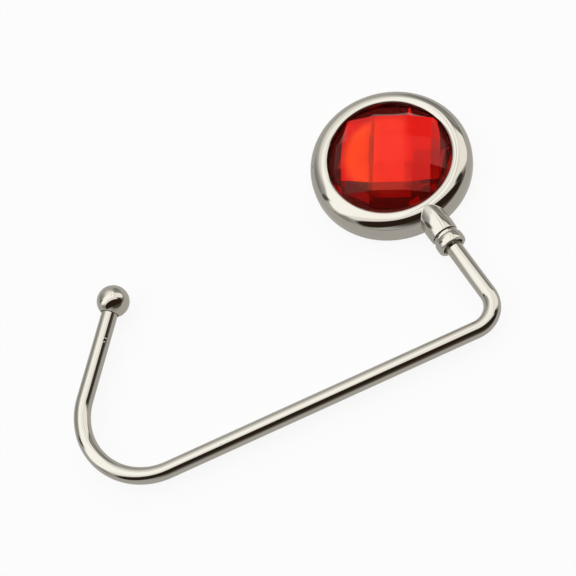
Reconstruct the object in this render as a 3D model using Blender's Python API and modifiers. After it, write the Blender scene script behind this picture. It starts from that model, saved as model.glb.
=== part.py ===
"""Table-top purse hook: a round disc with a faceted stone, and a swivelling wire hook with a ball tip.

Frame: metres, +Z up. The origin is the centre of the grip pad's underside, which stands on the table.
The neck and the hook's swivel axis run along -Y, and the hook lies flat beside the disc, towards -X.
"""

import math

import bmesh
import bpy
from mathutils import Matrix, Vector

MM = 0.001

# Fits
SEAT_GAP = 0.15 * MM  # between pieces that are glued, pressed or stood on each other
SWIVEL_CLEARANCE = 0.1 * MM  # all round the wire in its collar
CUT_OVERRUN = 1.0 * MM  # how far a cutter runs past the face it opens

# Disc casting
DISC_RADIUS = 20.0 * MM
RIM_WIDTH = 4.8 * MM  # from the disc's edge to the stone's cup
CREST_INSET = 0.9 * MM  # from the cup's wall out to the rim's highest circle
CREST_HEIGHT = 7.0 * MM
LIP_DROP = 0.5 * MM  # how far the rim rolls down into the cup
WALL_TOP_HEIGHT = 2.6 * MM  # where the straight wall ends and the dome begins
DOME_FULLNESS = 2.1  # exponent of the dome's superellipse: 2 is a plain ellipse
BASE_EDGE_ROUND = 0.5 * MM
CUP_FLOOR_THICKNESS = 2.2 * MM

# Grip pad and its adhesive
PAD_THICKNESS = 1.4 * MM
PAD_PROUD = 0.5 * MM  # how far the pad stands out below the casting
PAD_EDGE_ROUND = 0.25 * MM
PAD_INSET = 3.4 * MM  # from the disc's edge to the pad's recess
ADHESIVE_THICKNESS = 0.2 * MM

# Stone, foil and cement
CEMENT_THICKNESS = 0.2 * MM
FOIL_THICKNESS = 0.1 * MM
STONE_RISE = 3.55 * MM  # from the rim's crest up to the stone's centre facet
FACET_LINE_SHARES_X = (0.284, 0.684)  # facet lines from the centre, as shares of the stone's radius
FACET_LINE_SHARES_Y = (0.239, 0.684)
FACET_SLOPES_DEG = (0.0, 16.5, 37.5)  # centre, middle and outer facets
FACET_TURN_DEG = -34.0  # turn of the facet grid about the disc's axis

# Wire hook, measured along its centreline
WIRE_RADIUS = 2.0 * MM
SHORT_LEG = 49.7 * MM  # disc axis to the first corner
LONG_LEG = 114.0 * MM  # first corner to second corner
END_LEG = 55.5 * MM  # second corner to the ball's centre
FIRST_BEND_DEG = 97.8
SECOND_BEND_DEG = 124.4
FIRST_BEND_RADIUS = 6.2 * MM
SECOND_BEND_RADIUS = 15.8 * MM
HEAD_LENGTH = 1.0 * MM
HEAD_CHAMFER = 0.15 * MM
HEAD_END_CLEARANCE = 0.3 * MM

# Ball tip
BALL_RADIUS = 4.0 * MM
BALL_MOUTH_CHAMFER = 0.15 * MM

# Neck and collar, measured outwards from the disc's axis
NECK_END = 24.6 * MM
NECK_WALL = 0.7 * MM  # at the neck's end
NECK_SWELL = 0.06 * MM  # how much thicker the neck is halfway than at its end
NECK_ROOT_DROP = 0.42 * MM  # how much thinner it is at its root, which lets its top sink into the rim
NECK_EDGE_ROUND = 0.2 * MM
SPIGOT_LENGTH = 3.4 * MM
SPIGOT_WALL = 0.45 * MM
WAIST_LENGTH = 0.95 * MM
WAIST_DEPTH = 0.3 * MM  # below the neck's end
FLANGE_LENGTH = 2.5 * MM
FLANGE_RISE = 0.15 * MM  # above the neck's end
FLANGE_EDGE_DROP = 0.2 * MM  # how far the barrel falls from its middle to its ends
COUNTERSINK_DEPTH = 0.9 * MM
COUNTERSINK_RIM = 0.75 * MM  # flat ring left round the countersink's mouth

# Fineness
RING_STEPS = 72
NECK_STEPS = 48
BALL_STEPS = 28
DOME_STEPS = 9
BALL_ARC_STEPS = 14
SMALL_ARC_STEPS = 3
NECK_LENGTH_STEPS = 6
BARREL_STEPS = 6
BEND_STEP_DEG = 6.0
WIRE_BEVEL_RESOLUTION = 10  # 24 sides
WELD_DISTANCE = 0.001 * MM

# Worked out from the sizes above
AXIS_HEIGHT = BALL_RADIUS  # so that the ball lies on the table beside the pad
PAD_RECESS_RADIUS = DISC_RADIUS - PAD_INSET
PAD_RADIUS = PAD_RECESS_RADIUS - SEAT_GAP
ADHESIVE_BASE = PAD_THICKNESS + SEAT_GAP
RECESS_TOP = ADHESIVE_BASE + ADHESIVE_THICKNESS + SEAT_GAP
CUP_FLOOR = RECESS_TOP + CUP_FLOOR_THICKNESS
CUP_RADIUS = DISC_RADIUS - RIM_WIDTH
CREST_RADIUS = CUP_RADIUS + CREST_INSET
STONE_RADIUS = CUP_RADIUS - SEAT_GAP
CEMENT_BASE = CUP_FLOOR + SEAT_GAP
FOIL_BASE = CEMENT_BASE + CEMENT_THICKNESS + SEAT_GAP
STONE_BASE = FOIL_BASE + FOIL_THICKNESS + SEAT_GAP
STONE_CREST = CREST_HEIGHT + STONE_RISE
COLLAR_BORE_RADIUS = WIRE_RADIUS + SWIVEL_CLEARANCE
SPIGOT_RADIUS = COLLAR_BORE_RADIUS + SPIGOT_WALL
NECK_BORE_RADIUS = SPIGOT_RADIUS + SEAT_GAP
NECK_RADIUS = NECK_BORE_RADIUS + NECK_WALL
NECK_ROOT = PAD_RECESS_RADIUS + SEAT_GAP  # inside the rim, clear of the pad's recess
SPIGOT_START = NECK_END - SPIGOT_LENGTH
HEAD_END = SPIGOT_START - SEAT_GAP
HEAD_START = HEAD_END - HEAD_LENGTH
NECK_BORE_BOTTOM = HEAD_START - HEAD_END_CLEARANCE
COLLAR_SHOULDER = NECK_END + SEAT_GAP
FLANGE_START = COLLAR_SHOULDER + WAIST_LENGTH
FLANGE_END = FLANGE_START + FLANGE_LENGTH
WAIST_RADIUS = NECK_RADIUS - WAIST_DEPTH
FLANGE_RADIUS = NECK_RADIUS + FLANGE_RISE


def clear_scene():
    for obj in list(bpy.data.objects):
        bpy.data.objects.remove(obj, do_unlink=True)


def new_collection(name):
    collection = bpy.data.collections.new(name)
    bpy.context.scene.collection.children.link(collection)
    return collection


def new_material(name, colour, roughness, metallic=0.0, transmission=0.0):
    material = bpy.data.materials.new(name)
    material.use_nodes = True
    shader = material.node_tree.nodes["Principled BSDF"]
    shader.inputs["Base Color"].default_value = (*colour, 1.0)
    shader.inputs["Roughness"].default_value = roughness
    shader.inputs["Metallic"].default_value = metallic
    shader.inputs["Transmission Weight"].default_value = transmission
    return material


def arc(centre, radii, start_deg, end_deg, steps, power=2.0):
    """Points of an elliptical arc in a profile plane, or of a superellipse where power isn't 2."""
    points = []
    for step in range(steps + 1):
        angle = math.radians(start_deg + (end_deg - start_deg) * step / steps)
        across = math.copysign(abs(math.cos(angle)) ** (2.0 / power), math.cos(angle))
        along = math.copysign(abs(math.sin(angle)) ** (2.0 / power), math.sin(angle))
        points.append((centre[0] + radii[0] * across, centre[1] + radii[1] * along))
    return points


def place(obj, collection, material, parent):
    """Puts a new object in its collection, with its material and parent."""
    collection.objects.link(obj)
    obj.parent = parent
    if material:
        obj.data.materials.append(material)
    return obj


def turned(name, profile, steps, collection, material, parent=None):
    """A solid of revolution about the object's own Z, from (radius, height) points, top to bottom."""
    mesh = bpy.data.meshes.new(name)
    outline = bmesh.new()
    corners = [outline.verts.new((max(radius, 0.0), 0.0, height)) for radius, height in profile]
    for first, second in zip(corners, corners[1:]):
        outline.edges.new((first, second))
    if min(profile[0][0], profile[-1][0]) > WELD_DISTANCE:
        outline.edges.new((corners[-1], corners[0]))
    outline.to_mesh(mesh)
    outline.free()
    obj = bpy.data.objects.new(name, mesh)
    screw = obj.modifiers.new("Turn", "SCREW")
    screw.steps = steps
    screw.render_steps = steps
    screw.use_merge_vertices = True
    screw.merge_threshold = WELD_DISTANCE
    screw.use_smooth_shade = True
    return place(obj, collection, material, parent)


def as_cutter(obj):
    obj.hide_render = True
    obj.display_type = "WIRE"


def combine(target, other, operation):
    modifier = target.modifiers.new(operation.title(), "BOOLEAN")
    modifier.operation = operation
    modifier.solver = "EXACT"
    modifier.object = other


def keep_flats_flat(obj):
    """Weighted normals, so that a turned piece is smooth round its curves and flat on its faces."""
    normals = obj.modifiers.new("Flat faces", "WEIGHTED_NORMAL")
    normals.keep_sharp = True


def plate(name, radius, base, thickness, collection, material, parent, edge_round=0.0):
    """A round plate, from its base up, with its bottom edge rounded if it has an edge_round."""
    top = base + thickness
    profile = [(0.0, top), (radius, top)]
    if edge_round:
        centre = (radius - edge_round, base + edge_round)
        profile += arc(centre, (edge_round, edge_round), 0.0, -90.0, SMALL_ARC_STEPS)
    else:
        profile.append((radius, base))
    profile.append((0.0, base))
    return turned(name, profile, RING_STEPS, collection, material, parent)


def casting_profile():
    """The disc from the cup's floor up, over the rim, down its outside and into the pad's recess."""
    profile = [(0.0, CUP_FLOOR), (CUP_RADIUS, CUP_FLOOR)]
    lip_centre = (CREST_RADIUS, CREST_HEIGHT - LIP_DROP)
    profile += arc(lip_centre, (CREST_INSET, LIP_DROP), 180.0, 90.0, SMALL_ARC_STEPS)
    dome_centre = (CREST_RADIUS, WALL_TOP_HEIGHT)
    dome_radii = (DISC_RADIUS - CREST_RADIUS, CREST_HEIGHT - WALL_TOP_HEIGHT)
    profile += arc(dome_centre, dome_radii, 90.0, 0.0, DOME_STEPS, DOME_FULLNESS)[1:]
    edge_centre = (DISC_RADIUS - BASE_EDGE_ROUND, PAD_PROUD + BASE_EDGE_ROUND)
    edge_radii = (BASE_EDGE_ROUND, BASE_EDGE_ROUND)
    profile += arc(edge_centre, edge_radii, 0.0, -90.0, SMALL_ARC_STEPS)
    profile += [(PAD_RECESS_RADIUS, PAD_PROUD), (PAD_RECESS_RADIUS, RECESS_TOP), (0.0, RECESS_TOP)]
    return profile


def neck_radius(share):
    """The neck's radius from its root, at share 0, to its end, at share 1."""
    root = (NECK_RADIUS - NECK_ROOT_DROP) * (1.0 - share) * (1.0 - 2.0 * share)
    middle = (NECK_RADIUS + NECK_SWELL) * 4.0 * share * (1.0 - share)
    end = NECK_RADIUS * share * (2.0 * share - 1.0)
    return root + middle + end


def neck_profile():
    """The neck from its outer end inwards to its root, which the rim hides."""
    edge_centre = (NECK_RADIUS - NECK_EDGE_ROUND, NECK_END - NECK_EDGE_ROUND)
    edge_radii = (NECK_EDGE_ROUND, NECK_EDGE_ROUND)
    length = edge_centre[1] - NECK_ROOT
    profile = [(0.0, NECK_END)]
    profile += arc(edge_centre, edge_radii, 90.0, 0.0, SMALL_ARC_STEPS)
    for step in range(NECK_LENGTH_STEPS - 1, -1, -1):
        share = step / NECK_LENGTH_STEPS
        profile.append((neck_radius(share), NECK_ROOT + share * length))
    profile.append((0.0, NECK_ROOT))
    return profile


def collar_profile():
    """The collar's section, from its countersunk outer face round the flange to the spigot and the bore."""
    mouth_radius = FLANGE_RADIUS - FLANGE_EDGE_DROP - COUNTERSINK_RIM
    middle = (FLANGE_RADIUS - FLANGE_EDGE_DROP, (FLANGE_START + FLANGE_END) / 2)
    barrel = arc(middle, (FLANGE_EDGE_DROP, FLANGE_LENGTH / 2), 90.0, -90.0, BARREL_STEPS)
    return [
        (mouth_radius, FLANGE_END),
        *barrel,
        (WAIST_RADIUS, FLANGE_START),
        (WAIST_RADIUS, COLLAR_SHOULDER),
        (SPIGOT_RADIUS, COLLAR_SHOULDER),
        (SPIGOT_RADIUS, SPIGOT_START),
        (COLLAR_BORE_RADIUS, SPIGOT_START),
        (COLLAR_BORE_RADIUS, FLANGE_END - COUNTERSINK_DEPTH),
    ]


def ball_profile():
    """The ball about the wire's line, with the blind hole that takes the wire opening downwards."""
    hole_radius = WIRE_RADIUS + SEAT_GAP
    mouth_radius = hole_radius + BALL_MOUTH_CHAMFER
    mouth_deg = math.degrees(math.asin(mouth_radius / BALL_RADIUS)) - 90.0
    profile = arc((0.0, 0.0), (BALL_RADIUS, BALL_RADIUS), 90.0, mouth_deg, BALL_ARC_STEPS)
    mouth_height = profile[-1][1]
    profile += [(hole_radius, mouth_height + BALL_MOUTH_CHAMFER), (hole_radius, SEAT_GAP), (0.0, SEAT_GAP)]
    return profile


def facet_planes(line_shares):
    """For each facet across the stone one way: a point of its cross section and its slope, centre first."""
    lines = [0.0, *(share * STONE_RADIUS for share in line_shares)]
    slopes = [math.tan(math.radians(angle)) for angle in FACET_SLOPES_DEG]
    planes = [(0.0, 0.0, slopes[0])]
    drop = 0.0
    for inner, outer, slope, next_slope in zip(lines, lines[1:], slopes, slopes[1:]):
        drop += (outer - inner) * slope
        planes += [(-outer, drop, -next_slope), (outer, drop, next_slope)]
    return planes


def gem(collection, material, parent):
    """A flat-backed round blank cut by one plane for each facet of the checkerboard crown."""
    blank = bmesh.new()
    height = STONE_CREST - STONE_BASE
    middle = Matrix.Translation((0.0, 0.0, STONE_BASE + height / 2))
    bmesh.ops.create_cone(
        blank,
        cap_ends=True,
        segments=RING_STEPS,
        radius1=STONE_RADIUS,
        radius2=STONE_RADIUS,
        depth=height,
        matrix=middle,
    )
    turn = Matrix.Rotation(math.radians(FACET_TURN_DEG), 3, "Z")
    for along_x, drop_x, slope_x in facet_planes(FACET_LINE_SHARES_X):
        for along_y, drop_y, slope_y in facet_planes(FACET_LINE_SHARES_Y):
            corner = Vector((along_x, along_y, STONE_CREST - drop_x - drop_y))
            normal = Vector((slope_x, slope_y, 1.0)).normalized()
            cut = bmesh.ops.bisect_plane(
                blank,
                geom=blank.verts[:] + blank.edges[:] + blank.faces[:],
                dist=WELD_DISTANCE,
                plane_co=turn @ corner,
                plane_no=turn @ normal,
                clear_outer=True,
            )
            rim = [item for item in cut["geom_cut"] if isinstance(item, bmesh.types.BMEdge)]
            open_rim = [edge for edge in rim if edge.is_boundary]
            if open_rim:
                bmesh.ops.contextual_create(blank, geom=open_rim)
    bmesh.ops.dissolve_degenerate(blank, edges=blank.edges, dist=WELD_DISTANCE)
    bmesh.ops.recalc_face_normals(blank, faces=blank.faces)
    mesh = bpy.data.meshes.new("gem_stone")
    blank.to_mesh(mesh)
    blank.free()
    return place(bpy.data.objects.new("gem_stone", mesh), collection, material, parent)


def bend(points, corner, heading_deg, turn_deg, radius):
    """Adds the points of a clockwise bend at a corner, and returns the new heading."""
    start_heading = math.radians(heading_deg)
    setback = radius * math.tan(math.radians(turn_deg) / 2)
    start = corner - setback * Vector((math.cos(start_heading), math.sin(start_heading)))
    centre = start + radius * Vector((math.sin(start_heading), -math.cos(start_heading)))
    steps = math.ceil(turn_deg / BEND_STEP_DEG)
    for step in range(steps + 1):
        side = start_heading - math.radians(turn_deg) * step / steps
        points.append(centre + radius * Vector((-math.sin(side), math.cos(side))))
    return heading_deg - turn_deg


def hook_route():
    """The wire's centreline in plan, from the neck outwards, with its last heading and the ball's centre."""
    points = []
    first_corner = Vector((0.0, -SHORT_LEG))
    heading = bend(points, first_corner, -90.0, FIRST_BEND_DEG, FIRST_BEND_RADIUS)
    along = Vector((math.cos(math.radians(heading)), math.sin(math.radians(heading))))
    second_corner = first_corner + LONG_LEG * along
    heading = bend(points, second_corner, heading, SECOND_BEND_DEG, SECOND_BEND_RADIUS)
    along = Vector((math.cos(math.radians(heading)), math.sin(math.radians(heading))))
    ball_centre = second_corner + END_LEG * along
    return points, heading, ball_centre


def hook_wire(route, ball_centre, pivot, collection, material, parent):
    """The bent wire as a bevelled curve, with the head that the collar holds in as a thicker stretch."""
    head_share = SPIGOT_RADIUS / WIRE_RADIUS
    chamfer_share = (SPIGOT_RADIUS - HEAD_CHAMFER) / WIRE_RADIUS
    stations = [
        (Vector((0.0, -HEAD_START)), chamfer_share),
        (Vector((0.0, -HEAD_START - HEAD_CHAMFER)), head_share),
        (Vector((0.0, -HEAD_END + HEAD_CHAMFER)), head_share),
        (Vector((0.0, -HEAD_END)), 1.0),
    ]
    stations += [(point, 1.0) for point in route]
    stations.append((ball_centre, 1.0))
    curve = bpy.data.curves.new("hook_wire", "CURVE")
    curve.dimensions = "3D"
    curve.bevel_depth = WIRE_RADIUS
    curve.bevel_resolution = WIRE_BEVEL_RESOLUTION
    curve.use_fill_caps = True
    spline = curve.splines.new("POLY")
    spline.points.add(len(stations) - 1)
    for control, (point, share) in zip(spline.points, stations):
        control.co = (*(point.to_3d() - Vector((pivot.x, pivot.y, 0.0))), 1.0)
        control.radius = share
    return place(bpy.data.objects.new("hook_wire", curve), collection, material, parent)


def empty(name, location, collection):
    obj = bpy.data.objects.new(name, None)
    obj.location = location
    collection.objects.link(obj)
    return obj


def main():
    clear_scene()
    parts = new_collection("purse_hook")
    cutters = new_collection("purse_hook_cutters")

    nickel = new_material("polished_nickel", (0.72, 0.70, 0.66), 0.12, metallic=1.0)
    wire_nickel = new_material("wire_nickel", (0.74, 0.72, 0.67), 0.14, metallic=1.0)
    ball_nickel = new_material("ball_nickel", (0.75, 0.73, 0.69), 0.08, metallic=1.0)
    collar_nickel = new_material("collar_nickel", (0.70, 0.68, 0.63), 0.16, metallic=1.0)
    red_stone = new_material("red_acrylic", (0.80, 0.02, 0.01), 0.03, transmission=0.9)
    mirror = new_material("mirror_foil", (0.90, 0.25, 0.20), 0.05, metallic=1.0)
    cement = new_material("clear_cement", (0.75, 0.70, 0.58), 0.4)
    rubber = new_material("black_rubber", (0.03, 0.03, 0.03), 0.75)
    adhesive = new_material("adhesive_film", (0.85, 0.83, 0.76), 0.5)

    disc = empty("disc", (0.0, 0.0, 0.0), parts)
    pivot = Vector((0.0, -COLLAR_SHOULDER, AXIS_HEIGHT))
    swivel = empty("hook_swivel", pivot, parts)
    neck_line = empty("neck_line", (0.0, 0.0, AXIS_HEIGHT), parts)
    neck_line.rotation_euler.x = math.radians(90.0)
    neck_line.parent = disc

    casting = turned("disc_casting", casting_profile(), RING_STEPS, parts, nickel, disc)
    neck = turned("neck_boss", neck_profile(), NECK_STEPS, cutters, None, neck_line)
    bore_profile = [
        (0.0, NECK_END + CUT_OVERRUN),
        (NECK_BORE_RADIUS, NECK_END + CUT_OVERRUN),
        (NECK_BORE_RADIUS, NECK_BORE_BOTTOM),
        (0.0, NECK_BORE_BOTTOM),
    ]
    bore = turned("neck_bore", bore_profile, NECK_STEPS, cutters, None, neck_line)
    for helper in (neck, bore):
        as_cutter(helper)
    combine(casting, neck, "UNION")
    combine(casting, bore, "DIFFERENCE")

    plate("grip_pad", PAD_RADIUS, 0.0, PAD_THICKNESS, parts, rubber, disc, PAD_EDGE_ROUND)
    plate("pad_adhesive", PAD_RADIUS, ADHESIVE_BASE, ADHESIVE_THICKNESS, parts, adhesive, disc)
    plate("gem_cement", STONE_RADIUS, CEMENT_BASE, CEMENT_THICKNESS, parts, cement, disc)
    plate("gem_foil", STONE_RADIUS, FOIL_BASE, FOIL_THICKNESS, parts, mirror, disc)
    gem(parts, red_stone, disc)
    turned("neck_collar", collar_profile(), NECK_STEPS, parts, collar_nickel, neck_line)

    route, end_heading, ball_centre = hook_route()
    hook_wire(route, ball_centre, pivot, parts, wire_nickel, swivel)
    ball = turned("hook_ball", ball_profile(), BALL_STEPS, parts, ball_nickel, swivel)
    ball.location = ball_centre.to_3d() - Vector((pivot.x, pivot.y, 0.0))
    ball.rotation_euler = (math.radians(-90.0), 0.0, math.radians(end_heading - 90.0))

    for obj in parts.objects:
        if any(modifier.type == "SCREW" for modifier in obj.modifiers):
            keep_flats_flat(obj)


main()
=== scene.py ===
# %% [markdown]
# # A table-top purse hook
#
# A purse hook hangs a bag from the edge of a table. A heavy round disc stands on the table, and a bent
# wire swings out of its neck, goes under the edge and carries the bag. This lesson dresses the plain
# solids of such a hook: cast and nickel-plated disc, red faceted stone over a mirror foil, drawn wire,
# ball tip, turned collar and rubber grip pad.
#
# The solids come first, because each piece made here has to sit exactly where they say.

# %% Load the plain solids
import math

import bmesh
import bpy
import numpy as np
from mathutils import Matrix, Quaternion, Vector


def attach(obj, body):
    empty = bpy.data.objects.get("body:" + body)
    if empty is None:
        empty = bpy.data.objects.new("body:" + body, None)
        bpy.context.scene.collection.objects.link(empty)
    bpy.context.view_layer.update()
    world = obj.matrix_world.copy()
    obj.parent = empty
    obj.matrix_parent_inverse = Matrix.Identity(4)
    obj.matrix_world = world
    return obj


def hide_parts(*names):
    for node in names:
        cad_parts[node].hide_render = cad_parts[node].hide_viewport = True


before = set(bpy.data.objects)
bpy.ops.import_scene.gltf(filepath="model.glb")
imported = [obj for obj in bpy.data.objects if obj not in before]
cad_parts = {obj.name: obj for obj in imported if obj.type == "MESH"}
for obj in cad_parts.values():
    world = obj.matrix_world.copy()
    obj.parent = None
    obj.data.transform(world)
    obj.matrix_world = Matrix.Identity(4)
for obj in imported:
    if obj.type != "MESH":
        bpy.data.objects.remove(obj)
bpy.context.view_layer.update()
print("solids:", sorted(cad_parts))

# %% [markdown]
# All sizes are written in millimetres and multiplied by one value, so that they read like a drawing. The
# disc stands at the origin on its pad. The neck and the hook's swivel line run along -Y at the height of
# the ball's centre, because the ball tip lies on the table when the hook is folded flat.

# %% Shared sizes
MM = 0.001
SEAT_GAP = 0.15 * MM
BALL_RADIUS = 4.0 * MM
AXIS_HEIGHT = BALL_RADIUS
NECK_LINE = Vector((0.0, 0.0, AXIS_HEIGHT))
UP = Vector((0.0, 0.0, 1.0))
OUTWARD = Vector((0.0, -1.0, 0.0))
SIDEWAYS = Vector((1.0, 0.0, 0.0))

# %% [markdown]
# Operators act on everything that is selected, and the imported solids arrive selected. So each piece
# starts from a clean selection. Elements are then picked in code by where they are, which is what a
# click does by hand.

# %% Selection helpers


def select_nothing():
    if bpy.context.mode != "OBJECT":
        bpy.ops.object.mode_set(mode="OBJECT")
    bpy.ops.object.select_all(action="DESELECT")


def activate(obj):
    select_nothing()
    obj.select_set(True)
    bpy.context.view_layer.objects.active = obj


def pick(kind, wanted):
    """In edit mode, selects only the edges or faces for which wanted(element) is true."""
    bpy.ops.mesh.select_mode(type=kind)
    bpy.ops.mesh.select_all(action="DESELECT")
    mesh = bmesh.from_edit_mesh(bpy.context.edit_object.data)
    for element in mesh.edges if kind == "EDGE" else mesh.faces:
        if wanted(element):
            element.select_set(True)
    mesh.select_flush_mode()
    bmesh.update_edit_mesh(bpy.context.edit_object.data)


def newest(name):
    """Names the object that an operator has just added, and moves its place into its mesh."""
    obj = bpy.context.active_object
    obj.name = obj.data.name = name
    bpy.ops.object.transform_apply(location=True, rotation=True, scale=True)
    return obj


def boolean(obj, operation, helper):
    """Joins a helper to the object, or cuts it out, and removes the helper."""
    modifier = obj.modifiers.new(operation, "BOOLEAN")
    modifier.operation, modifier.solver, modifier.object = operation, "EXACT", helper
    activate(obj)
    bpy.ops.object.modifier_apply(modifier=modifier.name)
    bpy.data.objects.remove(helper, do_unlink=True)


def leave_edit_mode(weld=0.0):
    """Welds points that are closer than weld, turns all faces outwards and goes back to object mode."""
    bpy.ops.mesh.select_all(action="SELECT")
    if weld:
        bpy.ops.mesh.remove_doubles(threshold=weld)
    bpy.ops.mesh.normals_make_consistent(inside=False)
    bpy.ops.object.mode_set(mode="OBJECT")


def count_triangles(obj):
    print(obj.name, "has", sum(len(face.vertices) - 2 for face in obj.data.polygons), "triangles")


# %% [markdown]
# Most of this object is round about some line: disc, neck, collar and ball were turned, or cast in moulds
# that were turned. A lathe does that from one section, and so does the Spin tool. The section starts as a
# circle primitive, whose points are laid along the wanted outline, and spins once round the line.
#
# Arcs in a section are ellipses or superellipses. The power above 2 gives the fuller shoulder that polished
# castings have.

# %% Sections and spinning
SHARP_ABOVE = math.radians(35.0)


def arc(centre, width, start_deg, end_deg, steps, rise=None, power=2.0):
    """Points of an arc whose half sizes are width and rise. A round one needs no rise."""
    points = []
    for step in range(steps + 1):
        angle = math.radians(start_deg + (end_deg - start_deg) * step / steps)
        across = math.copysign(abs(math.cos(angle)) ** (2.0 / power), math.cos(angle))
        along = math.copysign(abs(math.sin(angle)) ** (2.0 / power), math.sin(angle))
        points.append((centre[0] + width * across, centre[1] + (rise or width) * along))
    return points


def turned(name, section, sides, centre=Vector(), axis=UP, across=SIDEWAYS):
    """Spins a section of (radius, distance along the axis) points round the axis, and closes its poles."""
    select_nothing()
    bpy.ops.mesh.primitive_circle_add(vertices=len(section), radius=MM, fill_type="NOTHING")
    obj = newest(name)
    for vertex, (radius, along) in zip(obj.data.vertices, section):
        vertex.co = centre + across * radius + axis * along
    bpy.ops.object.mode_set(mode="EDIT")
    on_axis = SEAT_GAP / 100
    pick("EDGE", lambda edge: max(((v.co - centre).cross(axis)).length for v in edge.verts) < on_axis)
    bpy.ops.mesh.delete(type="EDGE")
    bpy.ops.mesh.select_all(action="SELECT")
    bpy.ops.mesh.spin(steps=sides, angle=math.tau, use_auto_merge=True, center=centre, axis=axis)
    leave_edit_mode(on_axis)
    bpy.ops.object.shade_smooth()
    return obj


# %% [markdown]
# ## The disc and its neck
#
# The real disc is one zinc casting: a dome-shaped rim round a flat cup, with a stub of a neck growing out
# of its side. It was tumbled and polished before plating, so no outer edge is sharp, and the rim rolls
# over a thin lip into the cup.

# %% Section of the disc
DISC_RADIUS = 20.0 * MM
CUP_RADIUS = 15.2 * MM
CREST_RADIUS = 16.1 * MM
CREST_HEIGHT = 7.0 * MM
LIP_DROP = 0.5 * MM
WALL_TOP = 2.6 * MM
DOME_FULLNESS = 2.1
BASE_HEIGHT = 0.5 * MM
BASE_ROUND = 0.5 * MM
CUP_FLOOR = 4.1 * MM
RECESS_RADIUS = 16.6 * MM
RECESS_TOP = 1.9 * MM
EDGE_ROUND = 0.15 * MM
WALL_SHARES = (0.33, 0.67)
DISC_SIDES = 288

disc_section = [(0.0, CUP_FLOOR), (CUP_RADIUS - EDGE_ROUND, CUP_FLOOR)]
disc_section += arc((CUP_RADIUS - EDGE_ROUND, CUP_FLOOR + EDGE_ROUND), EDGE_ROUND, -90, 0, 4)[1:]
lip_centre, dome_centre = (CREST_RADIUS, CREST_HEIGHT - LIP_DROP), (CREST_RADIUS, WALL_TOP)
disc_section += arc(lip_centre, CREST_RADIUS - CUP_RADIUS, 180, 90, 16, LIP_DROP)
dome_width, dome_rise = DISC_RADIUS - CREST_RADIUS, CREST_HEIGHT - WALL_TOP
disc_section += arc(dome_centre, dome_width, 90, 0, 56, dome_rise, DOME_FULLNESS)[1:]
wall_height = WALL_TOP - BASE_HEIGHT - BASE_ROUND
disc_section += [(DISC_RADIUS, WALL_TOP - wall_height * share) for share in WALL_SHARES]
disc_section += arc((DISC_RADIUS - BASE_ROUND, BASE_HEIGHT + BASE_ROUND), BASE_ROUND, 0, -90, 8)
disc_section += arc((RECESS_RADIUS + EDGE_ROUND, BASE_HEIGHT + EDGE_ROUND), EDGE_ROUND, -90, -180, 4)
disc_section += [(RECESS_RADIUS, RECESS_TOP), (0.0, RECESS_TOP)]
print("disc section:", len(disc_section), "points")

# %% [markdown]
# The neck is turned about its own line. It swells a little in its middle and gets thinner towards its root,
# so that its top sinks into the rim's crest with no step and the two meet in a long V, as on the casting.
# Its outer end has a small rounded edge and a bore for the collar.

# %% Section of the neck
NECK_ROOT = RECESS_RADIUS + SEAT_GAP
NECK_END = 24.6 * MM
NECK_RADIUS = 3.4 * MM
NECK_SWELL = 0.06 * MM
NECK_ROOT_DROP = 0.42 * MM
NECK_EDGE_ROUND = 0.2 * MM
NECK_STEPS = 36
NECK_SIDES = 144
BORE_RADIUS = 2.7 * MM
BORE_BOTTOM = 19.75 * MM


def neck_radius(share):
    """The neck's radius from its root, at share 0, to its end, at share 1."""
    root = (NECK_RADIUS - NECK_ROOT_DROP) * (1.0 - share) * (1.0 - 2.0 * share)
    middle = (NECK_RADIUS + NECK_SWELL) * 4.0 * share * (1.0 - share)
    return root + middle + NECK_RADIUS * share * (2.0 * share - 1.0)


neck_edge = (NECK_RADIUS - NECK_EDGE_ROUND, NECK_END - NECK_EDGE_ROUND)
neck_section = [(0.0, NECK_END), *arc(neck_edge, NECK_EDGE_ROUND, 90, 0, 6)]
for step in range(NECK_STEPS - 1, -1, -1):
    share = step / NECK_STEPS
    neck_section.append((neck_radius(share), NECK_ROOT + share * (neck_edge[1] - NECK_ROOT)))
neck_section.append((0.0, NECK_ROOT))
print("neck section:", len(neck_section), "points")

# %% [markdown]
# The two are spun as closed solids that run into each other, and a Boolean makes one skin of them. The
# exact solver is slower than the others, but it leaves no gaps where two curved surfaces cross.

# %% Spin both and join them
disc_body = turned("disc_body", disc_section, DISC_SIDES)
boolean(disc_body, "UNION", turned("neck_stub", neck_section, NECK_SIDES, NECK_LINE, OUTWARD))
print("joined:", len(disc_body.data.vertices), "vertices")

# %% [markdown]
# A casting has no knife-sharp inner corner: where the neck leaves the rim there is a narrow fillet, and in
# polished metal it shows as one thin bright line. A Bevel can't follow the ragged ring of edges that a
# Boolean leaves, so the fillet is rolled by arithmetic. For each point near the corner, the distances to
# the two smooth surfaces say where a ball of the fillet's radius would touch, and the point moves onto
# that ball. The surfaces are read from the two sections, with a smooth normal at every place.

# %% Distance to a turned surface
FILLET_RADIUS = 0.35 * MM
TINY = 1e-12
BLOCK = 20000


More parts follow.
